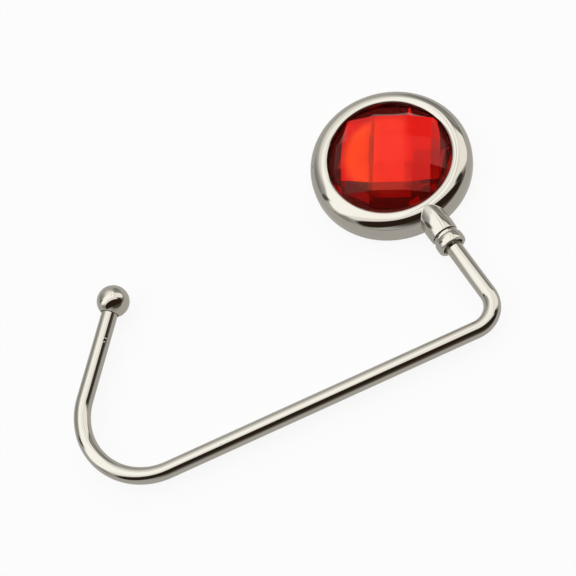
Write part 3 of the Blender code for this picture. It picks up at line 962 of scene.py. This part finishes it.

# %% [markdown]
# The stone is dyed clear acrylic, so its colour grows with the way that light travels in it: orange
# through a thin edge, deep crimson through a long path. Volume Absorption does that. The dye also
# scatters a little, which keeps the dark facets wine red instead of black. Handling leaves hairlines that
# are seen only in a glancing light. Light is painted into its colour as well: a painted highlight makes
# the stone more orange on one side, and painted shade makes it deeper red on the other side and round its
# rim.

# %% Red acrylic
ACRYLIC_COLOUR = (0.97, 0.26, 0.17)
ACRYLIC_PAINTED_HIGHLIGHT = (1.0, 0.40, 0.11)
ACRYLIC_PAINTED_SHADE = (0.86, 0.08, 0.06)
PAINTED_HIGHLIGHT_SIDE = (-0.867, 0.498, 0.0)
PAINTED_HIGHLIGHT_REACH = (2.5 * MM, 6.0 * MM)
PAINTED_SHADE_REACH = (-3.0 * MM, -5.0 * MM)
PAINTED_SHADE_RIM = (9.5 * MM, 11.5 * MM)
ACRYLIC_INDEX = 1.49
ACRYLIC_GLOSS = (0.8, 0.34, 0.30)
CLEAR_SHARE = 0.94
DYE_COLOUR = (0.955, 0.5, 0.22)
DYE_DENSITY = 330.0
HAIRLINE_SIZE = 0.35 * MM
SWIRL_SIZE = 6.0 * MM
SCUFF_HAZE = 0.02

acrylic, tree = new_finish("red_acrylic", ACRYLIC_COLOUR, 0.0)
set_shader(acrylic, Transmission_Weight=CLEAR_SHARE, IOR=ACRYLIC_INDEX, Specular_Tint=ACRYLIC_GLOSS)
hairlines = grain(tree, HAIRLINE_SIZE, 2.0, (1.0, 14.0, 1.0))
swirl = grain(tree, SWIRL_SIZE)
# Painted highlight: the colour turns orange towards one side of the stone.
across = measure(tree, "DOT_PRODUCT", own_metres(tree), PAINTED_HIGHLIGHT_SIDE)
wavering = sum_of(tree, "ADD", across, sum_of(tree, "MULTIPLY", swirl, MM))
dye_and_painted_light = mixed_colours(tree, spread(tree, wavering, 0.0, 1.0, *PAINTED_HIGHLIGHT_REACH), ACRYLIC_COLOUR, ACRYLIC_PAINTED_HIGHLIGHT)
# Painted shade: the colour turns deep red on the other side and round the rim.
for length, reach in ((wavering, PAINTED_SHADE_REACH), (from_axis(tree), PAINTED_SHADE_RIM)):
    dye_and_painted_light = mixed_colours(tree, spread(tree, length, 0.0, 1.0, *reach), dye_and_painted_light, ACRYLIC_PAINTED_SHADE)
scuffs = sum_of(tree, "MULTIPLY", hairlines, swirl)
dye = lay(tree, "ShaderNodeVolumeAbsorption", DYE_COLOUR, DYE_DENSITY).outputs[0]
tree.links.new(dye, tree.nodes["Material Output"].inputs["Volume"])
wear(stone, acrylic, Base_Color=dye_and_painted_light, Roughness=spread(tree, scuffs, 0.0, SCUFF_HAZE, 0.15, 0.4))

# %% [markdown]
# Under the stone lies a mirror foil, pressed almost flat. Its lacquer is a little uneven.

# %% Mirror foil
LACQUER_COLOURS = ((0.93, 0.91, 0.89), (0.90, 0.87, 0.84))
CREASE_SIZE, CREASE_DEPTH = 3.5 * MM, 0.0015 * MM

foil, tree = new_finish("mirror_foil", (0.92, 0.9, 0.88), 0.02, 1.0)
creases = grain(tree, CREASE_SIZE)
colour = mixed_colours(tree, spread(tree, creases), *LACQUER_COLOURS)
haze, normal = spread(tree, creases, 0.01, 0.04), bump(tree, creases, CREASE_DEPTH)
wear(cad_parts["gem_foil"], foil, Base_Color=colour, Roughness=haze, Normal=normal)

# %% [markdown]
# The foil is held by a spread of clear cement, which has cured slightly yellow with fine bubbles in it.

# %% Clear cement
CEMENT_COLOURS = ((0.76, 0.71, 0.60), (0.70, 0.62, 0.46))
RUN_SIZE, RUN_DEPTH = 5.0 * MM, 0.1 * MM
BUBBLE_COLOUR = (0.86, 0.84, 0.78)
BUBBLE_SPACING, BUBBLE_DEPTH = 0.8 * MM, 0.03 * MM

cement, tree = new_finish("clear_cement", (0.75, 0.7, 0.58), 0.35)
bubbles = spread(tree, cells(tree, BUBBLE_SPACING), 1.0, 0.0, 0.1, 0.3)
runny = grain(tree, RUN_SIZE, 3.0)
colour = mixed_colours(tree, spread(tree, runny), *CEMENT_COLOURS)
colour = mixed_colours(tree, sum_of(tree, "MULTIPLY", bubbles, 0.5), colour, BUBBLE_COLOUR)
haze = spread(tree, runny, 0.25, 0.5)
normal = bump(tree, bubbles, BUBBLE_DEPTH, bump(tree, runny, RUN_DEPTH))
wear(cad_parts["gem_cement"], cement, Base_Color=colour, Roughness=haze, Normal=normal)

# %% [markdown]
# The pad is held by a double-sided adhesive film with a tissue carrier, whose fibres show as pale hairs.

# %% Adhesive film
FILM_COLOURS = ((0.80, 0.77, 0.68), (0.90, 0.89, 0.85))
FIBRE_SIZE, FIBRE_DEPTH = 0.12 * MM, 0.01 * MM
FIBRE_WAYS = ((1.0, 16.0, 1.0), (16.0, 1.0, 1.0))

film, tree = new_finish("adhesive_film", (0.85, 0.83, 0.76), 0.45)
fibres = sum_of(tree, "MAXIMUM", *(grain(tree, FIBRE_SIZE, 2.0, way) for way in FIBRE_WAYS))
colour = mixed_colours(tree, spread(tree, fibres, 0.0, 1.0, 0.45, 0.75), *FILM_COLOURS)
haze, normal = spread(tree, fibres, 0.35, 0.6), bump(tree, fibres, FIBRE_DEPTH)
wear(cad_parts["pad_adhesive"], film, Base_Color=colour, Roughness=haze, Normal=normal)

# %% [markdown]
# The pad is moulded rubber, nearly black, with a fine leather-like grain. Where it rubs on table tops its
# high spots have turned greyer and smoother, so the worn patches are kept to the underside.

# %% Black rubber
RUBBER_COLOURS = ((0.022, 0.022, 0.023), (0.036, 0.035, 0.034))
WORN_COLOUR = (0.075, 0.073, 0.07)
LEATHER_SIZE, LEATHER_DEPTH = 0.28 * MM, 0.035 * MM
DUST_SIZE, DUST_DEPTH = 3.0 * MM, 0.02 * MM

rubber, tree = new_finish("black_rubber", (0.03, 0.03, 0.03), 0.7)
dusty = grain(tree, DUST_SIZE, 5.0)
height_above = lay(tree, "ShaderNodeSeparateXYZ", own_metres(tree)).outputs["Z"]
underside = spread(tree, height_above, 1.0, 0.0, 0.02 * MM, 0.2 * MM)
worn = sum_of(tree, "MULTIPLY", underside, spread(tree, dusty, 0.0, 1.0, 0.45, 0.65))
colour = mixed_colours(tree, spread(tree, dusty), *RUBBER_COLOURS)
colour = mixed_colours(tree, worn, colour, WORN_COLOUR)
haze = sum_of(tree, "SUBTRACT", spread(tree, dusty, 0.62, 0.8), sum_of(tree, "MULTIPLY", worn, 0.15))
normal = bump(tree, cells(tree, LEATHER_SIZE), LEATHER_DEPTH, bump(tree, dusty, DUST_DEPTH))
wear(pad, rubber, Base_Color=colour, Roughness=haze, Normal=normal)

# %% [markdown]
# ## Camera, room and floor
#
# The camera stands where the photographer's did, above the hook and turned a little, and its long lens
# keeps the disc nearly as round as it is.

# %% The camera
CAMERA_PLACE = Vector((-52.401, -139.97, 260.592)) * MM
CAMERA_ELEVATION_DEG = 63.853
CAMERA_AZIMUTH_DEG = -6.592
CAMERA_ROLL_DEG = 25.577
LENS_MM, SENSOR_MM = 75.0, 36.0

elevation, azimuth = math.radians(CAMERA_ELEVATION_DEG), math.radians(CAMERA_AZIMUTH_DEG)
backward = Vector(
    (math.sin(azimuth) * math.cos(elevation), -math.cos(azimuth) * math.cos(elevation), math.sin(elevation))
)
camera_data = bpy.data.cameras.new("camera")
camera_data.lens = LENS_MM
camera_data.sensor_width = SENSOR_MM
camera_data.clip_start, camera_data.clip_end = 0.01, 20.0
camera = bpy.data.objects.new("camera", camera_data)
bpy.context.scene.collection.objects.link(camera)
camera.rotation_mode = "QUATERNION"
camera.location = CAMERA_PLACE
level = (-backward).to_track_quat("-Z", "Y")
camera.rotation_quaternion = Quaternion(backward, -math.radians(CAMERA_ROLL_DEG)) @ level
bpy.context.scene.camera = camera
print("camera", round(CAMERA_PLACE.length / MM), "mm from the disc's foot")

# %% [markdown]
# Polished metal has no look of its own: it shows the room. Photographers of bright metal build that room
# on purpose, with a big soft panel overhead, a second one at the side, grey walls, and a dark place where
# the camera stands. Here the room is painted on the world. Each direction gets flat coordinates, in
# degrees away from straight up, and each panel is a rounded shape in them with a soft edge.

# %% The room round the hook
PANEL_WHITE = (1.54, 1.54, 1.53)
WALL_GREY = (0.54, 0.54, 0.53)
ROOM = (
    # name, centre, half sizes, turn, softness, squareness, colour
    ("left wall", (-95, 40), (16, 60), 0, 0.4, 2, (0.66, 0.655, 0.64)),
    ("right wall", (100, 60), (18, 55), 0, 0.4, 2, (0.66, 0.65, 0.63)),
    ("left corner", (-58, 63), (24, 24), 0, 0.45, 2, (0.32, 0.32, 0.31)),
    ("right corner", (58, 55), (22, 22), 0, 0.45, 2, (0.32, 0.32, 0.31)),
    ("gap at the left", (-82, -4), (14, 15), 0, 0.5, 2, (0.36, 0.35, 0.33)),
    ("gap at the right", (72, -36), (15, 13), 0, 0.5, 2, (0.16, 0.14, 0.12)),
    ("below the camera", (16, -59), (50, 29), 0, 0.4, 2, (0.085, 0.07, 0.058)),
    ("foot of the top panel", (-4, -6), (58, 15), -6, 0.15, 2.8, (1.2, 1.19, 1.16)),
    ("camera side", (-3, -37.5), (74, 21.5), -8, 0.11, 2.4, (0.033, 0.02, 0.014)),
    ("side panel", (60, 4), (30, 20), -12, 0.15, 2.6, (1.32, 1.29, 1.24)),
    ("rail over the side panel", (60, 27), (26, 4), -14, 0.35, 2, (0.26, 0.25, 0.23)),
    ("panel glow", (4, 31), (26, 31), 0, 0.55, 2, (1.18, 1.17, 1.13)),
    ("top panel, left", (-27, 17), (49, 16), 4, 0.2, 2.6, PANEL_WHITE),
    ("top panel, right", (5, 17), (23, 18), -10, 0.2, 3, PANEL_WHITE),
    ("rail at the left", (-67, 37), (19, 5.5), -28, 0.4, 2, (0.13, 0.12, 0.11)),
    ("far end of the right panel", (24, 29), (13, 12), 0, 0.3, 2.4, (1.5, 1.49, 1.46)),
    ("seam between the panels", (15, 20.3), (1.5, 17), -37.8, 0.5, 2.4, (0.72, 0.71, 0.68)),
    ("shadow gap at the back right", (57, 61), (15, 2.6), -44, 0.5, 2, (0.07, 0.065, 0.055)),
    ("shadow gap at the right", (79.5, 26), (24, 2.4), -71, 0.5, 2, (0.09, 0.085, 0.075)),
    ("gap under the side panel", (54.5, -24.5), (17, 6.5), -36, 0.35, 2, (0.045, 0.037, 0.03)),
)

world = bpy.data.worlds.new("studio")
bpy.context.scene.world = world
world.use_nodes = True
room = world.node_tree
room.nodes.clear()
ray = lay(room, "ShaderNodeTexCoord").outputs["Generated"]
x, y, z = lay(room, "ShaderNodeSeparateXYZ", ray).outputs
away_deg = sum_of(room, "DEGREES", sum_of(room, "ARCCOSINE", z))
level_ray = lay(room, "ShaderNodeCombineXYZ", x, y, 0.0).outputs[0]
compass = lay(room, "ShaderNodeVectorMath", level_ray, operation="NORMALIZE").outputs[0]
chart = lay(room, "ShaderNodeVectorMath", compass, None, None, away_deg, operation="SCALE").outputs[0]
paint = WALL_GREY
for name, centre, half_size, turn_deg, softness, squareness, colour in ROOM:
    middle, turn, scale = (*centre, 0), (0, 0, math.radians(turn_deg)), (*half_size, 1)
    place = lay(room, "ShaderNodeMapping", chart, middle, turn, scale, vector_type="TEXTURE", label=name)
    sides = lay(room, "ShaderNodeSeparateXYZ", place.outputs[0]).outputs[:2]
    powers = [sum_of(room, "POWER", sum_of(room, "ABSOLUTE", side), squareness) for side in sides]
    reach = sum_of(room, "POWER", sum_of(room, "ADD", *powers), 1.0 / squareness)
    inside = spread(room, reach, 1.0, 0.0, 1.0 - softness, 1.0 + softness, "SMOOTHSTEP")
    paint = mixed_colours(room, inside, paint, colour)
print("room of", len(ROOM), "panels and gaps")

# %% [markdown]
# The photograph's background is white paper. Only rays straight from the camera see the room as plain
# white. The metal and the stone see the room itself.

# %% White for the camera
seen = lay(room, "ShaderNodeLightPath")
room_light = lay(room, "ShaderNodeBackground", paint, 1.0).outputs[0]
white_light = lay(room, "ShaderNodeBackground", (1.0, 1.0, 1.0), 1.0).outputs[0]
both = lay(room, "ShaderNodeMixShader", seen.outputs["Is Camera Ray"], room_light, white_light).outputs[0]
lay(room, "ShaderNodeOutputWorld", both)

# %% [markdown]
# The floor is a sheet of white paper. A tenth of what is seen of it is paper in the room's light, which
# keeps the object's shadow. For the camera the rest is clear, so the white behind it comes through, and a
# hook that hangs below the table is still seen. In metal and glass the rest is a plain grey, the one that
# paper has at the foot of an object.

# %% The floor
CLEAR_PAPER = 0.9
PAPER_IN_METAL = (0.55, 0.535, 0.515)
FLOOR_SIZE = 6.0
FLOOR_DROP = 0.01 * MM

select_nothing()
bpy.ops.mesh.primitive_plane_add(size=FLOOR_SIZE, location=(0.0, 0.0, -FLOOR_DROP))
floor = newest("floor")
paper, tree = new_finish("floor_paper", (0.95, 0.95, 0.95), 0.9)
path = lay(tree, "ShaderNodeLightPath").outputs
reflected = sum_of(tree, "MAXIMUM", path["Is Glossy Ray"], path["Is Transmission Ray"])
reflected_share = sum_of(tree, "MULTIPLY", reflected, CLEAR_PAPER)
camera_share = sum_of(tree, "MULTIPLY", path["Is Camera Ray"], CLEAR_PAPER)
lit = tree.nodes["Principled BSDF"].outputs[0]
plain = lay(tree, "ShaderNodeEmission", PAPER_IN_METAL, 1.0).outputs[0]
clear = lay(tree, "ShaderNodeBsdfTransparent").outputs[0]
in_metal = lay(tree, "ShaderNodeMixShader", reflected_share, lit, plain).outputs[0]
paper_look = lay(tree, "ShaderNodeMixShader", camera_share, in_metal, clear).outputs[0]
tree.links.new(paper_look, tree.nodes["Material Output"].inputs[0])
wear(floor, paper)
bpy.context.scene.view_settings.view_transform = "Standard"
